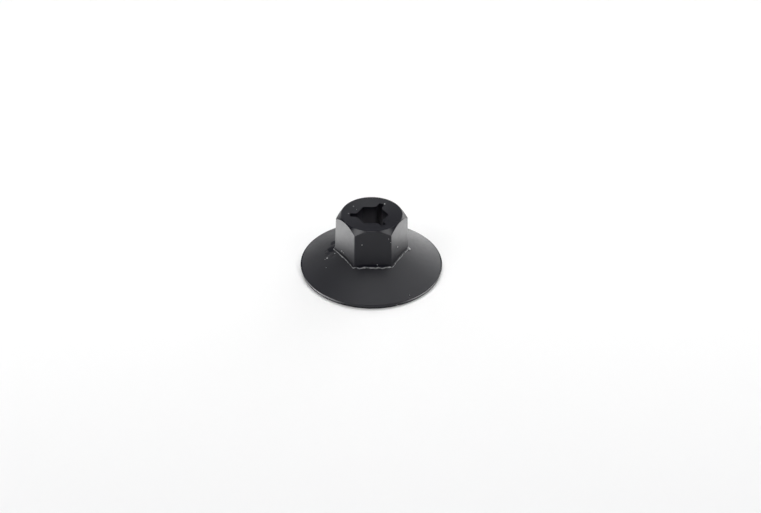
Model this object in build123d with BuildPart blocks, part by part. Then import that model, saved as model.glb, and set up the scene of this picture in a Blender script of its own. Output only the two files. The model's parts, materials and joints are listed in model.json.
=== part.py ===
from build123d import *

import os
from math import cos, radians, tan

# Plastic flange nut: a drafted hexagon barrel standing on a wide dished flange, moulded in one piece.
# It is turned onto a stud, which cuts its own thread in the flats of a hexagonal bore, and slots at three
# corners of the bore let the barrel spread as it goes on. The flange is a hollow cone, so it acts as a
# spring washer.
# Z is the axis of the bore, and the origin lies on the plane that the rim of the flange rests on.

# Hexagon barrel (millimetres and degrees)
nut_height = 10.0  # rest plane to top face
across_flats = 10.0  # at the foot of the hexagon, for a 10 mm socket
hex_draft = 1.5  # lean of each flat towards the axis
hex_edge_radius = 0.2  # upright edges
foot_radius = 0.15  # root of the hexagon on the flange
crown_inset = 0.08  # round edge of the top face, inside the middle of each flat
crown_angle = 45.0  # slope of the chamfer below that edge

# Flange
flange_diameter = 22.5  # to the upper edge of the rim, before it is rounded
flange_slope = 26.0  # slope of the cone
rim_height = 0.75  # outer face of the rim
rim_taper = 14.0  # lean of that face, inwards and down
rim_edge_radius = 0.12  # upper and lower edge of that face
seat_width = 0.42  # flat ring under the rim

# Bore and slots
stud_diameter = 5.0  # the stud that the nut goes on
thread_bite = 0.25  # the stud's thread cuts this deep into each flat of the bore
bore_corner_radius = 0.4
slot_count = 3
slot_width = 0.9
slot_depth = 0.8  # outwards from the corner of the bore
slot_corner_radius = 0.2
slot_mouth_radius = 0.25  # where the sides of a slot meet the flats of the bore
pilot_clearance = 0.1  # round lower end of the bore, all round the stud
pilot_depth = 1.5  # up from the lower face of the boss
lead_in_width = 0.3  # chamfer where the stud enters, measured across the radius
lead_in_angle = 45.0  # slope of that chamfer, from the axis

# Boss, the round lower end of the barrel inside the hollow flange
boss_wall = 0.7  # outside the slots
boss_lift = 1.0  # lower face above the rest plane
boss_root_radius = 0.4  # root of the boss under the flange

overrun = 1.0  # cutting profiles run this far past the faces that they leave

# Sizes that follow from those
flange_radius = flange_diameter / 2
bore_inradius = stud_diameter / 2 - thread_bite
slot_reach = bore_inradius / cos(radians(30)) + slot_depth
pilot_radius = stud_diameter / 2 + pilot_clearance
boss_radius = slot_reach + boss_wall
cone_rise = tan(radians(flange_slope))
seat_outer_radius = flange_radius - rim_height * tan(radians(rim_taper))
seat_inner_radius = seat_outer_radius - seat_width


def flange_top(radius):
    """Height of the upper face of the flange at a radius."""
    return rim_height + (flange_radius - radius) * cone_rise


def flange_under(radius):
    """Height of the lower face of the flange at a radius."""
    return (seat_inner_radius - radius) * cone_rise


hex_corner_radius = across_flats / 2 / cos(radians(30))
foot_height = flange_top(hex_corner_radius)
top_inradius = across_flats / 2 - (nut_height - foot_height) * tan(radians(hex_draft))
crown_radius = top_inradius - crown_inset
crown_reach = hex_corner_radius + overrun
crown_drop = (crown_reach - crown_radius) * tan(radians(crown_angle))
boss_depth = flange_under(boss_radius) - boss_lift
lead_in_depth = lead_in_width / tan(radians(lead_in_angle))

with BuildPart() as flange_nut:
    # Hexagon, from the height of the rim up to the top face, corners on the X axis
    with BuildSketch(Plane.XY.offset(rim_height)):
        RegularPolygon(across_flats / 2, side_count=6, major_radius=False)
    extrude(amount=nut_height - rim_height)
    flats = flange_nut.faces().filter_by(Axis.Z, reverse=True)
    draft(flats, Plane.XY.offset(foot_height), hex_draft)
    upright_edges = flange_nut.edges().filter_by(Plane.XY, reverse=True)
    fillet(upright_edges, hex_edge_radius)

    # Chamfer round the top, which leaves an arc on each flat and a tip at each corner
    with BuildSketch(Plane.XZ):
        with BuildLine():
            Polyline(
                (0, 0),
                (crown_reach, 0),
                (crown_reach, nut_height - crown_drop),
                (crown_radius, nut_height),
                (0, nut_height),
                close=True,
            )
        make_face()
    revolve(axis=Axis.Z, mode=Mode.INTERSECT)

    # Flange, solid at first
    with BuildSketch(Plane.XZ) as flange_section:
        with BuildLine():
            Polyline(
                (0, 0),
                (seat_outer_radius, 0),
                (flange_radius, rim_height),
                (bore_inradius, flange_top(bore_inradius)),
                (0, flange_top(bore_inradius)),
                close=True,
            )
        make_face()
        rim_corners = flange_section.vertices().sort_by(Axis.X)[-2:]
        fillet(rim_corners, rim_edge_radius)
    revolve(axis=Axis.Z)

    # Root of the hexagon, a closed chain of curves that rises from the corners to the middle of the flats
    foot_edges = flange_nut.edges().filter_by(
        lambda edge: foot_height - foot_radius < edge.center().Z < flange_top(top_inradius)
    )
    fillet(foot_edges, foot_radius)

    # Hollow under the flange, with the boss left standing in its middle
    with BuildSketch(Plane.XZ) as hollow_section:
        with BuildLine():
            Polyline(
                (0, -overrun),
                (seat_inner_radius, -overrun),
                (seat_inner_radius, 0),
                (boss_radius, flange_under(boss_radius)),
                (boss_radius, boss_lift),
                (0, boss_lift),
                close=True,
            )
        make_face()
        boss_root = hollow_section.vertices().sort_by(Axis.Y)[-1]
        fillet(boss_root, min(boss_root_radius, boss_depth / 3))
    revolve(axis=Axis.Z, mode=Mode.SUBTRACT)

    # Bore with its slots, which point at every other corner of both hexagons
    with BuildSketch() as bore_section:
        RegularPolygon(bore_inradius, side_count=6, major_radius=False)
        fillet(bore_section.vertices(), bore_corner_radius)
        with PolarLocations(0, slot_count, start_angle=180):
            Rectangle(slot_reach, slot_width, align=(Align.MIN, Align.CENTER))
        slot_corners = bore_section.vertices().group_by(SortBy.DISTANCE)[-1]
        fillet(slot_corners, slot_corner_radius)
        slot_mouths = bore_section.vertices().group_by(SortBy.DISTANCE)[0]
        fillet(slot_mouths, slot_mouth_radius)
    extrude(amount=nut_height + overrun, mode=Mode.SUBTRACT)

    # Pilot that guides the stud to the bore, with a lead-in, from the lower face of the boss
    with BuildSketch(Plane.XY.offset(boss_lift)):
        Circle(pilot_radius)
    extrude(amount=pilot_depth, mode=Mode.SUBTRACT)
    with BuildSketch(Plane.XY.offset(boss_lift)):
        Circle(pilot_radius + lead_in_width)
    extrude(amount=lead_in_depth, taper=lead_in_angle, mode=Mode.SUBTRACT)

flange_nut.part.label = "flange_nut"

os.makedirs("parts", exist_ok=True)
export_step(flange_nut.part, "parts/flange_nut.step")
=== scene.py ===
import json
from math import cos, pi, radians, sin, tan

import bmesh
import bpy
import numpy as np
from mathutils import Matrix, Vector
from mathutils.bvhtree import BVHTree


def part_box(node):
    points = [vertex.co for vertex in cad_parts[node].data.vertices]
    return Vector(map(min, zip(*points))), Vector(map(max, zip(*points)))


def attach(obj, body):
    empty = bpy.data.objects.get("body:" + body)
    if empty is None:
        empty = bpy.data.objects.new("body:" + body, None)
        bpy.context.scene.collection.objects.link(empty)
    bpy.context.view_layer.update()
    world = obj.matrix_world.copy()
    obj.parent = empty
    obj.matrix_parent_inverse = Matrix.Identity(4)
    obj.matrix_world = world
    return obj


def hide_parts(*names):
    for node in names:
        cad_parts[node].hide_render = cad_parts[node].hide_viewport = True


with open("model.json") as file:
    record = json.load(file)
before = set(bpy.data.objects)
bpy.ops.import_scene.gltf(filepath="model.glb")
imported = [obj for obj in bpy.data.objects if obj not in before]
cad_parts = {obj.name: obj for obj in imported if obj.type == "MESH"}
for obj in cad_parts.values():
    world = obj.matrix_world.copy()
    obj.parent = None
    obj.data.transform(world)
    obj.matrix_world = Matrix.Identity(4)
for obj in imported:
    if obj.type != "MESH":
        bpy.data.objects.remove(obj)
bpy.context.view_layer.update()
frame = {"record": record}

scene = bpy.context.scene
scene.view_settings.view_transform = "Standard"

# The nut's sizes, in millimetres and degrees. Each mesh is scaled to metres once, when it is made.
MM = 0.001
nut_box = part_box("flange_nut")
pilot_mount = next(mount for mount in frame["record"]["mounts"] if mount["name"] == "stud_bore")
NUT_HEIGHT = nut_box[1].z / MM
BORE_INRADIUS = 2.25
BORE_CORNER_RADIUS = 0.4
SLOT_HALF_WIDTH = 0.45
SLOT_REACH = 3.4
SLOT_CORNER_RADIUS = 0.2
SLOT_MOUTH_RADIUS = 0.25
SLOT_ANGLES = (60, 180, 300)
PILOT_RADIUS = pilot_mount["dims"]["r_mm"]
PILOT_TOP = pilot_mount["pos_m"][2] / MM + pilot_mount["dims"]["length_mm"] / 2
LEAD_IN = 0.3
BOSS_LIFT = 1.0
BOSS_RADIUS = 4.1
BOSS_ROOT_RADIUS = 0.4
HEX_INRADIUS = 5.0
HEX_DRAFT = 1.5
HEX_EDGE_RADIUS = 0.2
FOOT_RADIUS = 0.15
CROWN_INSET = 0.08
TOP_DISH = 0.22  # the top face sinks this much from its edge to the bore
FLANGE_RADIUS = 11.249
FLANGE_SLOPE = 26.0
RIM_HEIGHT = 0.75
RIM_TAPER = 14.0
RIM_EDGE_RADIUS = 0.09
RIM_WAIST_RADIUS = 11.04  # the rim leans in to its waist, and stands nearly upright below it
RIM_WAIST_HEIGHT = 0.24
SEAT_WIDTH = 0.42
SOFT_EDGE_RADIUS = 0.04
CORNER_ANGLE = 1.4  # a rounded corner of the hexagon lies within this angle of its middle
SHARP_ANGLE = 35  # edges of the mesh that are sharper than this stay sharp
MERGE_DISTANCE = 1e-8  # in metres
BORE_HALVINGS = 40

CONE_RISE = tan(radians(FLANGE_SLOPE))
CONE_APEX = RIM_HEIGHT + FLANGE_RADIUS * CONE_RISE
DRAFT_RISE = tan(radians(HEX_DRAFT))
SEAT_OUTER_RADIUS = FLANGE_RADIUS - RIM_HEIGHT * tan(radians(RIM_TAPER))
SEAT_INNER_RADIUS = SEAT_OUTER_RADIUS - SEAT_WIDTH
FOOT_HEIGHT = CONE_APEX - HEX_INRADIUS / cos(radians(30)) * CONE_RISE
CROWN_RADIUS = HEX_INRADIUS - (NUT_HEIGHT - FOOT_HEIGHT) * DRAFT_RISE - CROWN_INSET

# Camera, as fitted to the outlines in the photograph. Pixels are counted from the picture's upper left
# corner.
IMAGE_WIDTH = 761
IMAGE_HEIGHT = 513
CAMERA_TURN = radians(-2.39)
CAMERA_ELEVATION = radians(35.33)
CAMERA_ROLL = radians(0.49)
CAMERA_DISTANCE = 213.6 * MM
CAMERA_TARGET = Vector((0, 0, 3.864 * MM))
TARGET_PIXEL = (371.55, 246.2)
FOCAL_PIXELS = 1357
SENSOR_WIDTH = 36
CLIP_START = 0.01  # in metres
VIEW = Matrix.Rotation(CAMERA_TURN, 4, "Z") @ Matrix.Rotation(pi / 2 - CAMERA_ELEVATION, 4, "X")
CAMERA_PLACE = (
    Matrix.Translation(CAMERA_TARGET)
    @ VIEW
    @ Matrix.Translation((0, 0, CAMERA_DISTANCE))
    @ Matrix.Rotation(CAMERA_ROLL, 4, "Z")
)

# Floor, in metres. It is a little darker towards the front.
FLOOR_HALF = 5
FLOOR_COLOUR = (0.93, 0.93, 0.93)
FLOOR_FRONT_COLOUR = (0.81, 0.81, 0.815)
FLOOR_FADE = (-0.075, -0.010)

# Dents in the surface: the pixel that each is seen at, its radius and its depth, in millimetres
DENTS = (
    ((327.5, 255.5), 0.25, 0.08),  # in the scuffs and painted shade left of the hexagon
    ((333.0, 256.0), 0.25, 0.06),
    ((326.0, 251.5), 0.20, 0.05),
    ((346.0, 222.5), 0.20, 0.05),  # edge of the top face
    ((397.0, 221.0), 0.20, 0.05),
    ((398.0, 305.0), 0.22, 0.12),  # nick in the rim
    ((409.8, 297.0), 0.20, 0.06),
)
DENT_REACH = 3  # in radii of the dent
# Dull patches on the flange, left of the hexagon, partly scuffs and partly painted shade of the hexagon's
# left
# foot: the pixel that each is seen at, and its radius in millimetres
SCUFFS_AND_PAINTED_SHADE = (
    ((331.5, 249.0), 0.95),
    ((334.3, 242.5), 0.75),
)
# Crumbs of plastic dust, and two pale grains that are painted highlights on the front right upright edge:
# the pixel that each is seen at, and its radius in millimetres
DUST_AND_GLINT_SPECKS = (
    ((384.5, 204.0), 0.12),
    ((353.5, 206.5), 0.12),
    ((356.5, 209.5), 0.07),
    ((348.5, 213.5), 0.08),
    ((362.0, 245.0), 0.07),
    ((397.5, 246.8), 0.15),
    ((341.8, 251.0), 0.12),
    ((343.5, 252.8), 0.08),
    ((334.8, 253.5), 0.08),
    ((377.3, 265.0), 0.12),
    ((327.3, 258.3), 0.14),
    ((325.0, 259.5), 0.06),
    ((326.2, 267.8), 0.07),
    # These two are painted highlights on the front right upright edge
    ((388.6, 239.0), 0.06),
    ((390.8, 242.5), 0.06),
    ((396.8, 304.6), 0.08),
    ((409.6, 295.2), 0.05),
    ((408.7, 249.0), 0.32),
)
SPECK_SEED = 11
SPECK_WIDTH_SHARES = (0.7, 1)
SPECK_HEIGHT_SHARE = 0.7
SPECK_UNEVEN_SHARE = 0.22

# Flash that was squeezed out round the foot of the hexagon: it is widest and thickest at the front
FLASH_REACH = 0.19
FLASH_SIDE_REACH = 0.10
FLASH_FRONT_REACH = 0.32
FLASH_BEAD_RADIUS = 0.06
FLASH_FRONT_GROWTH = 0.045
FLASH_ROOT_HEIGHT = 0.10
# Lumps in it: the angle of each, its width in degrees and its growth in millimetres
FLASH_LUMPS = (
    (180.0, 3.0, 0.035),
    (208.0, 4.0, 0.020),
    (240.0, 2.5, 0.020),
    (255.5, 2.5, 0.050),
    (276.0, 2.5, 0.020),
    (296.0, 4.0, 0.040),
)
FLASH_STEPS = 720
FLASH_FRONT_WAVE_SHARE = 0.5
FLASH_SIDE_WAVE_SHARE = 0.2
FLASH_BEAD_WAVE_SHARE = 0.3
FLASH_LEAST_REACH = 0.03
FLASH_BEAD_RADII = (0.02, 0.15)  # least and most
FLASH_BEAD_TURNS = (130, 90, 50, 10, -30)  # directions from the middle of the bead to its points
FLASH_BEAD_LIFT = 0.01
FLASH_BEAD_RISE_SHARE = 0.4
FLASH_BEAD_SINK = 0.04
FLASH_APRON_HEIGHT = 0.06
FLASH_SINK = 0.06
FRONT_ANGLE = 270

# Plastic. A pair of radii, heights or places is where a change starts and where it is complete.
PLASTIC_COLOURS = ((0.001, 0.0012, 0.005), (0.003, 0.0033, 0.008))
PLASTIC_ROUGHNESS = (0.36, 0.42)
PLASTIC_IOR = 1.445
NOISE_SPAN = (0.3, 0.7)  # most of the noise lies between these
FULL_SHINE = 0.5
CHAMFER_SUM = NUT_HEIGHT + CROWN_RADIUS  # radius and height added, the same all over the chamfer
CHAMFER_SPAN = (CHAMFER_SUM - 0.07, CHAMFER_SUM - 0.03)
CHAMFER_ROUGHNESS_SHARE = 0.55
# The wall of the bore is painted paler than the plastic: painted light where light reaches into the bore
PAINTED_BORE_LIGHT_COLOUR = (0.088, 0.085, 0.095)
PAINTED_BORE_LIGHT_RADII = (SLOT_REACH + 0.1, SLOT_REACH + 0.05)
BORE_MOUTH_HEIGHT = NUT_HEIGHT - TOP_DISH
PAINTED_BORE_LIGHT_HEIGHTS = (BORE_MOUTH_HEIGHT - 0.05, BORE_MOUTH_HEIGHT - 2.6)
PAINTED_BORE_LIGHT_FOOT_HEIGHTS = (BOSS_LIFT + LEAD_IN, PILOT_TOP)
# Face of the rim, painted pale at the left and the right: a painted reflection of the floor at a grazing
# angle
PAINTED_RIM_REFLECTION_COLOUR = (0.42, 0.42, 0.43)
PAINTED_RIM_REFLECTION_RADII = (10.95, 11.0)
PAINTED_RIM_REFLECTION_UPPER_HEIGHTS = (0.70, 0.64)
PAINTED_RIM_REFLECTION_LOWER_HEIGHTS = (0.20, 0.26)
PAINTED_RIM_REFLECTION_LEFT = (-4.5, -8)
PAINTED_RIM_REFLECTION_RIGHT = (4, 8)
PAINTED_RIM_REFLECTION_RIGHT_SHARE = 0.8
# Upper edge of the rim, dull except at the front and at the back left
RIM_EDGE_SHINE = 0.05
RIM_EDGE_RADII = (10.95, 11.02)
RIM_EDGE_HEIGHTS = (0.72, 0.64)
RIM_EDGE_FRONT = (0, -4)
RIM_EDGE_BACK = (9.5, 10.8)
RIM_EDGE_BACK_ANGLE = 115
SCUFF_AND_SHADE_SHINE = 0.08
SCUFF_AND_SHADE_SHARES = (0.6, 1.2)
SCUFF_AND_SHADE_UNEVEN = 0.4
TORN_COLOURS = ((0.10, 0.105, 0.11), (0.38, 0.385, 0.39))
DUST_AND_GLINT_COLOURS = ((0.25, 0.255, 0.26), (0.55, 0.555, 0.56))
TORN_NOISE_SPAN = (0.35, 0.65)
TORN_ROUGHNESS = 0.6

# Studio: a dark sky over a white horizon, which is at its full strength below the first of these elevations
# and fades out at the second
HORIZON_BAND = (3, 9)
# Softboxes in the sky: azimuth and elevation of the middle, half angles of the bright middle and of the soft
# edge, and strength
SOFTBOXES = {
    "left": (212, 47, 5, 20, 4.15),
    "right": (328, 47, 5, 20, 3.1),
    "front": (267, 55, 6, 20, 1.5),
    "right_back": (54, 10.5, 4, 30, 2.25),
    "left_back": (123, 24, 5, 24, 0.72),
    "right_high": (35, 52, 8, 34, 1.7),
    "left_high": (145, 54, 8, 34, 0.6),
    "back": (90, 50, 4, 14, 0.65),
    "back_high": (90, 68, 4, 16, 4.2),
    "overhead": (90, 78, 4, 16, 2.5),
}
# Light panels that lie on the table beside the nut: azimuth and distance of the middle, width along the
# rim and length away from it, in millimetres, and radiance
PANELS = {
    "left_panel": (168, 17.2, 22, 8.5, 4.3),
    "front_left_panel": (215, 15.5, 16, 7, 0.7),
    "right_panel": (30, 18, 24, 11, 2.75),
}
PANEL_LIFT = 0.02


def around_the_axis():
    """Angles round the axis, in degrees, closer together at the corners of the hexagons and at the slots."""
    slot_side = np.degrees(np.arctan2(SLOT_HALF_WIDTH, SLOT_REACH - SLOT_CORNER_RADIUS))
    slot_mouth = np.degrees(np.arcsin(SLOT_HALF_WIDTH / BORE_INRADIUS))
    stops = (0, CORNER_ANGLE, slot_side, slot_mouth, 30)
    steps = (5, 8, 14, 17)
    runs = [np.linspace(start, end, count + 1) for start, end, count in zip(stops, stops[1:], steps)]
    half = np.unique(np.round(np.concatenate(runs), 6))
    sector = np.concatenate([-half[:0:-1], half])[1:]
    return np.sort(np.concatenate([(60 * side + sector) % 360 for side in range(6)]))


def hexagon_reach(angles):
    """Distance from the axis to a hexagon of inradius 1 with rounded corners, at each angle."""
    edge = HEX_EDGE_RADIUS / HEX_INRADIUS
    from_corner = np.radians(np.abs((angles + 30) % 60 - 30))
    flat = 1 / np.cos(radians(30) - from_corner)
    centre = (1 - edge) / cos(radians(30))
    inside = np.maximum(edge**2 - (centre * np.sin(from_corner)) ** 2, 0)
    rounded = centre * np.cos(from_corner) + np.sqrt(inside)
    tangent = radians(30) - np.arctan((1 - edge) * tan(radians(30)))
    return np.where(from_corner < tangent, rounded, flat)


def off_the_bore(reach, angles):
    """Distance from points at these reaches and angles to the wall of the slotted bore, negative inside."""
    from_corner = np.radians(np.abs((angles + 30) % 60 - 30))
    along, aside = reach * np.cos(from_corner), reach * np.sin(from_corner)
    centre = (BORE_INRADIUS - BORE_CORNER_RADIUS) / cos(radians(30))
    off_flat = along * cos(radians(30)) + aside * sin(radians(30)) - BORE_INRADIUS
    off_corner = np.hypot(along - centre, aside) - BORE_CORNER_RADIUS
    off_hexagon = np.where(np.arctan2(aside, along - centre) < radians(30), off_corner, off_flat)
    from_slot = np.stack([np.abs((angles - slot + 180) % 360 - 180) for slot in SLOT_ANGLES]).min(0)
    along = reach * np.cos(np.radians(from_slot)) - SLOT_REACH + SLOT_CORNER_RADIUS
    aside = reach * np.sin(np.radians(from_slot)) - SLOT_HALF_WIDTH + SLOT_CORNER_RADIUS
    off_slot = np.hypot(np.maximum(along, 0), np.maximum(aside, 0)) - SLOT_CORNER_RADIUS
    off_slot += np.minimum(np.maximum(along, aside), 0)
    near = [np.maximum(SLOT_MOUTH_RADIUS - off, 0) for off in (off_hexagon, off_slot)]
    return np.maximum(SLOT_MOUTH_RADIUS, np.minimum(off_hexagon, off_slot)) - np.hypot(*near)


def bore_reach(angles):
    """Distance from the axis to the wall of the slotted bore, at each angle, found by halving."""
    low = np.full_like(angles, BORE_INRADIUS / 2)
    high = np.full_like(angles, SLOT_REACH * 1.1)
    for _ in range(BORE_HALVINGS):
        middle = (low + high) / 2
        inside = off_the_bore(middle, angles) < 0
        low = np.where(inside, middle, low)
        high = np.where(inside, high, middle)
    return low


def foot_line(angles):
    """Radius and height of the line where the flats of the hexagon meet the cone of the flange."""
    reach = hexagon_reach(angles)
    base = HEX_INRADIUS - (CONE_APEX - FOOT_HEIGHT) * DRAFT_RISE
    radius = reach * base / (1 - reach * CONE_RISE * DRAFT_RISE)
    return radius, CONE_APEX - radius * CONE_RISE


def crown_line(angles):
    """Radius and height of the arcs where the chamfer of the top meets the flats."""
    reach = hexagon_reach(angles)
    base = HEX_INRADIUS - (NUT_HEIGHT - FOOT_HEIGHT + CROWN_RADIUS) * DRAFT_RISE
    radius = reach * base / (1 - reach * DRAFT_RISE)
    return radius, NUT_HEIGHT - (radius - CROWN_RADIUS)


def rounded_corner(before, corner, after, radius, steps):
    """Points of an arc that rounds a corner of the outline, for all angles at once."""
    to_before = before - corner
    to_after = after - corner
    to_before /= np.linalg.norm(to_before, axis=1, keepdims=True)
    to_after /= np.linalg.norm(to_after, axis=1, keepdims=True)
    half = np.arccos(np.clip((to_before * to_after).sum(1), -1, 1))[:, None] / 2
    middle = to_before + to_after
    middle /= np.linalg.norm(middle, axis=1, keepdims=True)
    centre = corner + middle * radius / np.sin(half)
    first = corner + to_before * radius / np.tan(half) - centre
    last = corner + to_after * radius / np.tan(half) - centre
    sweep = pi - 2 * half
    arc = []
    for share in np.linspace(0, 1, steps + 1):
        turned = first * np.sin((1 - share) * sweep) + last * np.sin(share * sweep)
        arc.append(centre + turned / np.sin(sweep))
    return arc


def nut_corners(angles):
    """Corners of the outline, from the mouth of the bore, out over the nut, and back to the bore.

    Each one is its radius and height, the radius of its edge, and the steps of that edge and of the run
    after it.
    """
    bore = bore_reach(angles)
    mouth = NUT_HEIGHT - TOP_DISH * (CROWN_RADIUS - bore) / (CROWN_RADIUS - BORE_INRADIUS)
    pilot = np.maximum(PILOT_RADIUS, bore)
    lead_in = np.maximum(PILOT_RADIUS + LEAD_IN, bore)
    boss_root = (SEAT_INNER_RADIUS - BOSS_RADIUS) * CONE_RISE
    return (
        (bore, mouth, 0, 0, 10),
        (CROWN_RADIUS, NUT_HEIGHT, SOFT_EDGE_RADIUS, 3, 3),
        (*crown_line(angles), SOFT_EDGE_RADIUS, 3, 20),
        (*foot_line(angles), FOOT_RADIUS, 6, 48),
        (FLANGE_RADIUS, RIM_HEIGHT, RIM_EDGE_RADIUS, 8, 4),
        (RIM_WAIST_RADIUS, RIM_WAIST_HEIGHT, SOFT_EDGE_RADIUS, 3, 3),
        (SEAT_OUTER_RADIUS, 0, RIM_EDGE_RADIUS, 8, 3),
        (SEAT_INNER_RADIUS, 0, SOFT_EDGE_RADIUS, 3, 14),
        (BOSS_RADIUS, boss_root, BOSS_ROOT_RADIUS, 8, 8),
        (BOSS_RADIUS, BOSS_LIFT, SOFT_EDGE_RADIUS, 3, 4),
        (lead_in, BOSS_LIFT, 0, 0, 3),
        (pilot, BOSS_LIFT + lead_in - pilot, 0, 0, 3),
        (pilot, PILOT_TOP, 0, 0, 3),
        (bore, PILOT_TOP, 0, 0, 12),
    )


def nut_rings(angles):
    """Rings of points (radius, height): an arc at each rounded corner, and a run to the next corner."""
    corners = nut_corners(angles)
    everywhere = np.ones_like(angles)
    points = [np.stack([radius * everywhere, height * everywhere], 1) for radius, height, *_ in corners]
    arcs = []
    for index, (point, (_, _, edge, steps, _)) in enumerate(zip(points, corners)):
        after = points[(index + 1) % len(points)]
        arcs.append(rounded_corner(points[index - 1], point, after, edge, steps) if edge else [point])
    rings = []
    for index, arc in enumerate(arcs):
        start, end = arc[-1], arcs[(index + 1) % len(arcs)][0]
        count = corners[index][4]
        # Closer together at both ends of the run
        shares = 0.5 - 0.5 * np.cos(pi * np.arange(1, count) / count)
        rings += arc
        rings += [start + (end - start) * share for share in shares]
    return np.array(rings)


def ring_mesh(name, angles, rings):
    """A closed mesh of quads from rings round the axis, each joined to the next, the last to the first."""
    turn = np.radians(angles)
    radius, height = rings[..., 0], rings[..., 1]
    points = np.stack([radius * np.cos(turn), radius * np.sin(turn), height], 2) * MM
    index = np.arange(radius.size).reshape(radius.shape)
    next_ring = np.roll(index, -1, 0)
    next_angle = np.roll(index, -1, 1)
    both = np.roll(next_ring, -1, 1)
    faces = np.stack([index, next_ring, both, next_angle], 2).reshape(-1, 4)
    mesh = bpy.data.meshes.new(name)
    mesh.from_pydata(points.reshape(-1, 3).tolist(), [], faces.tolist())
    return mesh


def seen_at(pixel, tree):
    """The point of a surface that a pixel of the picture shows, and the surface's normal there."""
    across = (pixel[0] - TARGET_PIXEL[0]) / FOCAL_PIXELS
    down = (pixel[1] - TARGET_PIXEL[1]) / FOCAL_PIXELS
    direction = CAMERA_PLACE.to_3x3() @ Vector((across, -down, -1))
    place, normal, _, _ = tree.ray_cast(CAMERA_PLACE.translation, direction.normalized())
    return place, normal


def nut_mesh():
    """The whole nut with the dents of its wear pressed in, and a tree to find points of its surface."""
    angles = around_the_axis()
    mesh = ring_mesh("nut", angles, nut_rings(angles))
    edit = bmesh.new()
    edit.from_mesh(mesh)
    bmesh.ops.remove_doubles(edit, verts=edit.verts, dist=MERGE_DISTANCE)
    bmesh.ops.recalc_face_normals(edit, faces=edit.faces)
    tree = BVHTree.FromBMesh(edit)
    for pixel, radius, depth in DENTS:
        place, normal = seen_at(pixel, tree)
        for vertex in edit.verts:
            away = (vertex.co - place).length / (radius * MM)
            if away < DENT_REACH:
                vertex.co -= normal * depth * MM * np.exp(-(away**2))
                vertex.co.z = max(vertex.co.z, 0)
    tree = BVHTree.FromBMesh(edit)
    edit.to_mesh(mesh)
    edit.free()
    mesh.shade_smooth()
    mesh.set_sharp_from_angle(angle=radians(SHARP_ANGLE))
    return mesh, tree


def ripple(angles, seed, lowest, highest):
    """A smooth random wave round the axis, mostly between -1 and 1."""
    draw = np.random.default_rng(seed)
    counts = np.arange(lowest, highest)
    phases = draw.uniform(0, 2 * pi, len(counts))
    waves = np.cos(np.radians(angles)[:, None] * counts + phases)
    return waves.sum(1) / np.sqrt(len(counts) / 2) / 2


def flash_mesh():
    """The flash round the foot of the hexagon: a thin apron on the cone with a torn, beaded edge."""
    angles = np.arange(FLASH_STEPS) * 360 / FLASH_STEPS
    foot_radius, foot_height = foot_line(angles)
    in_front = np.abs(angles - FRONT_ANGLE) < 30
    from_middle = np.abs(angles % 60 - 30) / 30
    waves = np.where(in_front, FLASH_FRONT_WAVE_SHARE, FLASH_SIDE_WAVE_SHARE)
    reach = FLASH_REACH * (1 + waves * ripple(angles, seed=3, lowest=5, highest=40))
    reach += np.where(in_front, FLASH_FRONT_REACH, FLASH_SIDE_REACH) * (1 - from_middle**2)
    reach = np.maximum(reach, FLASH_LEAST_REACH)
    unevenness = FLASH_BEAD_WAVE_SHARE * ripple(angles, seed=5, lowest=20, highest=90)
    bead = FLASH_BEAD_RADIUS * (1 + unevenness)
    bead += np.where(in_front, FLASH_FRONT_GROWTH, 0) * np.sqrt(1 - from_middle**2)
    for angle, width, growth in FLASH_LUMPS:
        bead += growth * np.exp(-(((angles - angle) / width) ** 2))
    bead = np.clip(bead, *FLASH_BEAD_RADII)
    everywhere = np.ones_like(angles)
    section = [
        (-FLASH_SINK * everywhere, FLASH_ROOT_HEIGHT * everywhere),
        (0.5 * (reach - bead), FLASH_APRON_HEIGHT * everywhere),
    ]
    for turn in np.radians(FLASH_BEAD_TURNS):
        above = FLASH_BEAD_LIFT + bead * (FLASH_BEAD_RISE_SHARE + np.sin(turn))
        section.append((reach + bead * np.cos(turn), above))
    section.append((reach - bead, -FLASH_BEAD_SINK * everywhere))
    section.append((-FLASH_SINK * everywhere, -FLASH_SINK * everywhere))
    out = np.array([cos(radians(FLANGE_SLOPE)), -sin(radians(FLANGE_SLOPE))])
    up = np.array([sin(radians(FLANGE_SLOPE)), cos(radians(FLANGE_SLOPE))])
    foot = np.stack([foot_radius, foot_height], 1)
    rings = np.array([foot + along[:, None] * out + above[:, None] * up for along, above in section])
    mesh = ring_mesh("foot_flash", angles, rings)
    bead_rings = range(2, 1 + len(FLASH_BEAD_TURNS))
    for polygon in mesh.polygons:
        polygon.material_index = int(polygon.index // FLASH_STEPS in bead_rings)
    edit = bmesh.new()
    edit.from_mesh(mesh)
    bmesh.ops.recalc_face_normals(edit, faces=edit.faces)
    edit.to_mesh(mesh)
    edit.free()
    mesh.shade_smooth()
    return mesh


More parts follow.
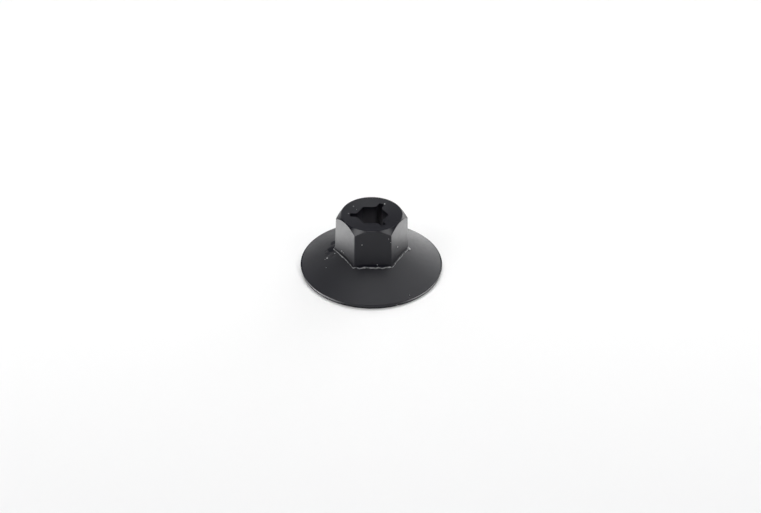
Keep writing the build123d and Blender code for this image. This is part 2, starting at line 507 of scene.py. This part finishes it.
def speck_mesh(tree):
    """Crumbs of plastic dust and two painted highlights: small uneven grains bedded in what carries them."""
    draw = np.random.default_rng(SPECK_SEED)
    edit = bmesh.new()
    for pixel, radius in DUST_AND_GLINT_SPECKS:
        place, normal = seen_at(pixel, tree)
        turn = normal.to_track_quat("Z", "Y").to_matrix().to_4x4()
        length = radius * MM
        width = length * draw.uniform(*SPECK_WIDTH_SHARES)
        size = Matrix.Diagonal((length, width, length * SPECK_HEIGHT_SHARE, 1))
        grain = bmesh.ops.create_icosphere(edit, subdivisions=2, radius=1)
        for vertex in grain["verts"]:
            vertex.co *= 1 + draw.uniform(-SPECK_UNEVEN_SHARE, SPECK_UNEVEN_SHARE)
        spin = Matrix.Rotation(draw.uniform(0, 2 * pi), 4, "Z")
        seat = Matrix.Translation(place) @ turn @ spin @ size
        bmesh.ops.transform(edit, matrix=seat, verts=grain["verts"])
        for vertex in grain["verts"]:
            vertex.co.z = min(vertex.co.z, NUT_HEIGHT * MM)
    mesh = bpy.data.meshes.new("dust_and_glint_specks")
    edit.to_mesh(mesh)
    edit.free()
    mesh.shade_smooth()
    return mesh


def link(name, mesh, *materials):
    """An object for a mesh, in the scene, with its materials."""
    piece = bpy.data.objects.new(name, mesh)
    scene.collection.objects.link(piece)
    for material in materials:
        piece.data.materials.append(material)
    return piece


def new_material(name):
    """A node material, its tree and its shader."""
    material = bpy.data.materials.new(name)
    material.use_nodes = True
    return material, material.node_tree, material.node_tree.nodes["Principled BSDF"]


def noise(tree, coordinates, size, detail):
    """Noise whose features are about as large as a size in millimetres."""
    node = tree.nodes.new("ShaderNodeTexNoise")
    node.inputs["Scale"].default_value = 1 / (size * MM)
    node.inputs["Detail"].default_value = detail
    tree.links.new(coordinates, node.inputs["Vector"])
    return node.outputs["Fac"]


def graded(tree, value, low, high, to_low, to_high, soft=False):
    """A value carried from one range to another, and held at its ends."""
    node = tree.nodes.new("ShaderNodeMapRange")
    if soft:
        node.interpolation_type = "SMOOTHSTEP"
    for name, number in (("From Min", low), ("From Max", high), ("To Min", to_low), ("To Max", to_high)):
        node.inputs[name].default_value = number
    tree.links.new(value, node.inputs["Value"])
    return node.outputs["Result"]


def faded(tree, place, ends, to_low=0, to_high=1):
    """A value that changes between two ends, given in millimetres."""
    low, high = ends
    return graded(tree, place, low * MM, high * MM, to_low, to_high)


def combined(tree, operation, first, *others):
    """Values put together by one operation, in their order."""
    for other in others:
        node = tree.nodes.new("ShaderNodeMath")
        node.operation = operation
        tree.links.new(first, node.inputs[0])
        tree.links.new(other, node.inputs[1])
        first = node.outputs["Value"]
    return first


def vector_math(tree, operation, vector, constant=(0, 0, 0)):
    """Results of an operation on a vector and a constant one."""
    node = tree.nodes.new("ShaderNodeVectorMath")
    node.operation = operation
    node.inputs[1].default_value = constant
    tree.links.new(vector, node.inputs[0])
    return node.outputs


def separated(tree, vector):
    """The three parts of a vector."""
    node = tree.nodes.new("ShaderNodeSeparateXYZ")
    tree.links.new(vector, node.inputs["Vector"])
    return [node.outputs[name] for name in "XYZ"]


def mixed(tree, factor, first, second):
    """A colour between two. The first can also come from another node."""
    node = tree.nodes.new("ShaderNodeMix")
    node.data_type = "RGBA"
    if isinstance(first, tuple):
        node.inputs["A"].default_value = (*first, 1)
    else:
        tree.links.new(first, node.inputs["A"])
    node.inputs["B"].default_value = (*second, 1)
    tree.links.new(factor, node.inputs["Factor"])
    return node.outputs["Result"]


def bumped(tree, height, distance, strength, under=None):
    """A bump from a height, over another bump if there is one."""
    node = tree.nodes.new("ShaderNodeBump")
    node.inputs["Strength"].default_value = strength
    node.inputs["Distance"].default_value = distance * MM
    tree.links.new(height, node.inputs["Height"])
    if under:
        tree.links.new(under, node.inputs["Normal"])
    return node.outputs["Normal"]


def black_plastic(surface):
    """Satin black moulded plastic: fine grain, slow waves from the mould, and painted light on the bore's
    wall.

    The chamfer of the top is smoother. The scuffs, with the painted shade beside the hexagon's left foot,
    and most of the rim's upper edge are dull. The face of the rim is painted pale at the left and the right:
    a painted reflection of the floor.
    """
    material, tree, shader = new_material("black_plastic")
    place = tree.nodes.new("ShaderNodeTexCoord").outputs["Object"]
    clouds = noise(tree, place, size=2.2, detail=3)
    smears = noise(tree, place, size=0.7, detail=4)
    grain = noise(tree, place, size=0.09, detail=2)
    across, along, height = separated(tree, place)
    level = vector_math(tree, "MULTIPLY", place, (1, 1, 0))["Vector"]
    radius = vector_math(tree, "LENGTH", level)["Value"]

    # Painted light: the wall of the bore is painted paler
    in_bore = faded(tree, radius, PAINTED_BORE_LIGHT_RADII)
    under_mouth = faded(tree, height, PAINTED_BORE_LIGHT_HEIGHTS)
    over_boss = faded(tree, height, PAINTED_BORE_LIGHT_FOOT_HEIGHTS)
    bore = combined(tree, "MULTIPLY", in_bore, under_mouth, over_boss)
    colour = mixed(tree, bore, mixed(tree, clouds, *PLASTIC_COLOURS), PAINTED_BORE_LIGHT_COLOUR)
    # Painted reflection: the face of the rim is painted pale at the left and the right
    reflection_left = faded(tree, across, PAINTED_RIM_REFLECTION_LEFT)
    reflection_right = faded(tree, across, PAINTED_RIM_REFLECTION_RIGHT, 0, PAINTED_RIM_REFLECTION_RIGHT_SHARE)
    painted_rim_reflection = combined(
        tree,
        "MULTIPLY",
        faded(tree, radius, PAINTED_RIM_REFLECTION_RADII),
        faded(tree, height, PAINTED_RIM_REFLECTION_UPPER_HEIGHTS),
        faded(tree, height, PAINTED_RIM_REFLECTION_LOWER_HEIGHTS),
        combined(tree, "MAXIMUM", reflection_left, reflection_right),
    )
    tree.links.new(mixed(tree, painted_rim_reflection, colour, PAINTED_RIM_REFLECTION_COLOUR), shader.inputs["Base Color"])

    rough = graded(tree, smears, *NOISE_SPAN, *PLASTIC_ROUGHNESS)
    chamfer_sum = combined(tree, "ADD", radius, height)
    smooth = faded(tree, chamfer_sum, CHAMFER_SPAN, 1, CHAMFER_ROUGHNESS_SHARE)
    tree.links.new(combined(tree, "MULTIPLY", rough, smooth), shader.inputs["Roughness"])

    back = (cos(radians(RIM_EDGE_BACK_ANGLE)), sin(radians(RIM_EDGE_BACK_ANGLE)), 0)
    to_back = vector_math(tree, "DOT_PRODUCT", place, back)["Value"]
    shine = combined(
        tree,
        "MAXIMUM",
        faded(tree, radius, RIM_EDGE_RADII, FULL_SHINE, RIM_EDGE_SHINE),
        faded(tree, height, RIM_EDGE_HEIGHTS, 0, FULL_SHINE),
        faded(tree, along, RIM_EDGE_FRONT, 0, FULL_SHINE),
        faded(tree, to_back, RIM_EDGE_BACK, 0, FULL_SHINE),
    )
    uneven = graded(tree, smears, *NOISE_SPAN, -SCUFF_AND_SHADE_UNEVEN * MM, SCUFF_AND_SHADE_UNEVEN * MM)
    # Dull patches: scuffs, and painted shade beside the left foot of the hexagon
    for pixel, size in SCUFFS_AND_PAINTED_SHADE:
        to_scuff_and_shade = vector_math(tree, "DISTANCE", place, seen_at(pixel, surface)[0])["Value"]
        off_scuff_and_shade = combined(tree, "ADD", to_scuff_and_shade, uneven)
        ends = [size * share for share in SCUFF_AND_SHADE_SHARES]
        shine = combined(tree, "MINIMUM", shine, faded(tree, off_scuff_and_shade, ends, SCUFF_AND_SHADE_SHINE, FULL_SHINE))
    tree.links.new(shine, shader.inputs["Specular IOR Level"])

    waves = bumped(tree, clouds, distance=0.03, strength=0.5)
    grained = bumped(tree, grain, distance=0.004, strength=0.6, under=waves)
    tree.links.new(grained, shader.inputs["Normal"])
    shader.inputs["IOR"].default_value = PLASTIC_IOR
    return material


def torn_plastic(name, dark, pale):
    """The same plastic where it is torn or ground to dust: grey and dull."""
    material, tree, shader = new_material(name)
    place = tree.nodes.new("ShaderNodeTexCoord").outputs["Object"]
    clouds = noise(tree, place, size=0.35, detail=3)
    grain = noise(tree, place, size=0.05, detail=2)
    patches = graded(tree, clouds, *TORN_NOISE_SPAN, 0, 1)
    tree.links.new(mixed(tree, patches, dark, pale), shader.inputs["Base Color"])
    tree.links.new(bumped(tree, grain, distance=0.01, strength=0.6), shader.inputs["Normal"])
    shader.inputs["Roughness"].default_value = TORN_ROUGHNESS
    return material


def white_floor():
    """Matt white floor, a little darker towards the front."""
    material, tree, shader = new_material("floor_white")
    place = tree.nodes.new("ShaderNodeTexCoord").outputs["Object"]
    _, along, _ = separated(tree, place)
    near = graded(tree, along, *FLOOR_FADE, 0, 1)
    tree.links.new(mixed(tree, near, FLOOR_FRONT_COLOUR, FLOOR_COLOUR), shader.inputs["Base Color"])
    shader.inputs["Roughness"].default_value = 1.0
    shader.inputs["Specular IOR Level"].default_value = 0.0
    return material


def studio_world():
    """The sky with its white horizon and its softboxes, which light the nut."""
    world = bpy.data.worlds.new("studio")
    scene.world = world
    world.use_nodes = True
    tree = world.node_tree
    tree.nodes.clear()
    heading = tree.nodes.new("ShaderNodeTexCoord").outputs["Generated"]
    _, _, rise = separated(tree, heading)
    band_top, band_fade = (sin(radians(elevation)) for elevation in HORIZON_BAND)
    level = graded(tree, rise, band_fade, band_top, 0, 1)
    for azimuth, elevation, inner, outer, strength in SOFTBOXES.values():
        azimuth, elevation = radians(azimuth), radians(elevation)
        middle = (cos(elevation) * cos(azimuth), cos(elevation) * sin(azimuth), sin(elevation))
        towards = vector_math(tree, "DOT_PRODUCT", heading, middle)["Value"]
        glow = graded(tree, towards, cos(radians(outer)), cos(radians(inner)), 0, strength, soft=True)
        level = combined(tree, "ADD", level, glow)
    lit = tree.nodes.new("ShaderNodeBackground")
    lit.inputs["Color"].default_value = (1, 1, 1, 1)
    tree.links.new(level, lit.inputs["Strength"])
    output = tree.nodes.new("ShaderNodeOutputWorld")
    tree.links.new(lit.outputs["Background"], output.inputs["Surface"])


def light_panel(name, azimuth, distance, width, length, radiance):
    """A panel that lies on the table and shines up past the nut."""
    lamp = bpy.data.lights.new(name, "AREA")
    lamp.shape = "RECTANGLE"
    lamp.size = length * MM
    lamp.size_y = width * MM
    lamp.energy = radiance * pi * lamp.size * lamp.size_y
    panel = bpy.data.objects.new(name, lamp)
    scene.collection.objects.link(panel)
    panel.visible_camera = False
    around = Matrix.Rotation(radians(azimuth), 4, "Z")
    face_up = Matrix.Rotation(pi, 4, "X")
    panel.matrix_world = around @ Matrix.Translation((distance * MM, 0, PANEL_LIFT * MM)) @ face_up


mesh, surface = nut_mesh()
plastic = black_plastic(surface)
torn = torn_plastic("torn_plastic", *TORN_COLOURS)
dust_and_glints = torn_plastic("plastic_dust_and_glints", *DUST_AND_GLINT_COLOURS)
nut = link("nut", mesh, plastic)
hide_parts("flange_nut")
flash = link("foot_flash", flash_mesh(), plastic, torn)
specks = link("dust_and_glint_specks", speck_mesh(surface), dust_and_glints)
for piece in (nut, flash, specks):
    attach(piece, "root")

floor_mesh = bpy.data.meshes.new("floor")
floor_corners = [(x * FLOOR_HALF, y * FLOOR_HALF, 0) for x, y in ((-1, -1), (1, -1), (1, 1), (-1, 1))]
floor_mesh.from_pydata(floor_corners, [], [(0, 1, 2, 3)])
floor = link("floor", floor_mesh, white_floor())

camera_data = bpy.data.cameras.new("camera")
camera = bpy.data.objects.new("camera", camera_data)
scene.collection.objects.link(camera)
camera_data.sensor_width = SENSOR_WIDTH
camera_data.lens = FOCAL_PIXELS / IMAGE_WIDTH * SENSOR_WIDTH
camera_data.clip_start = CLIP_START
camera_data.shift_x = (IMAGE_WIDTH / 2 - TARGET_PIXEL[0]) / IMAGE_WIDTH
camera_data.shift_y = (TARGET_PIXEL[1] - IMAGE_HEIGHT / 2) / IMAGE_WIDTH
camera.matrix_world = CAMERA_PLACE
scene.camera = camera

studio_world()
for name, values in PANELS.items():
    light_panel(name, *values)
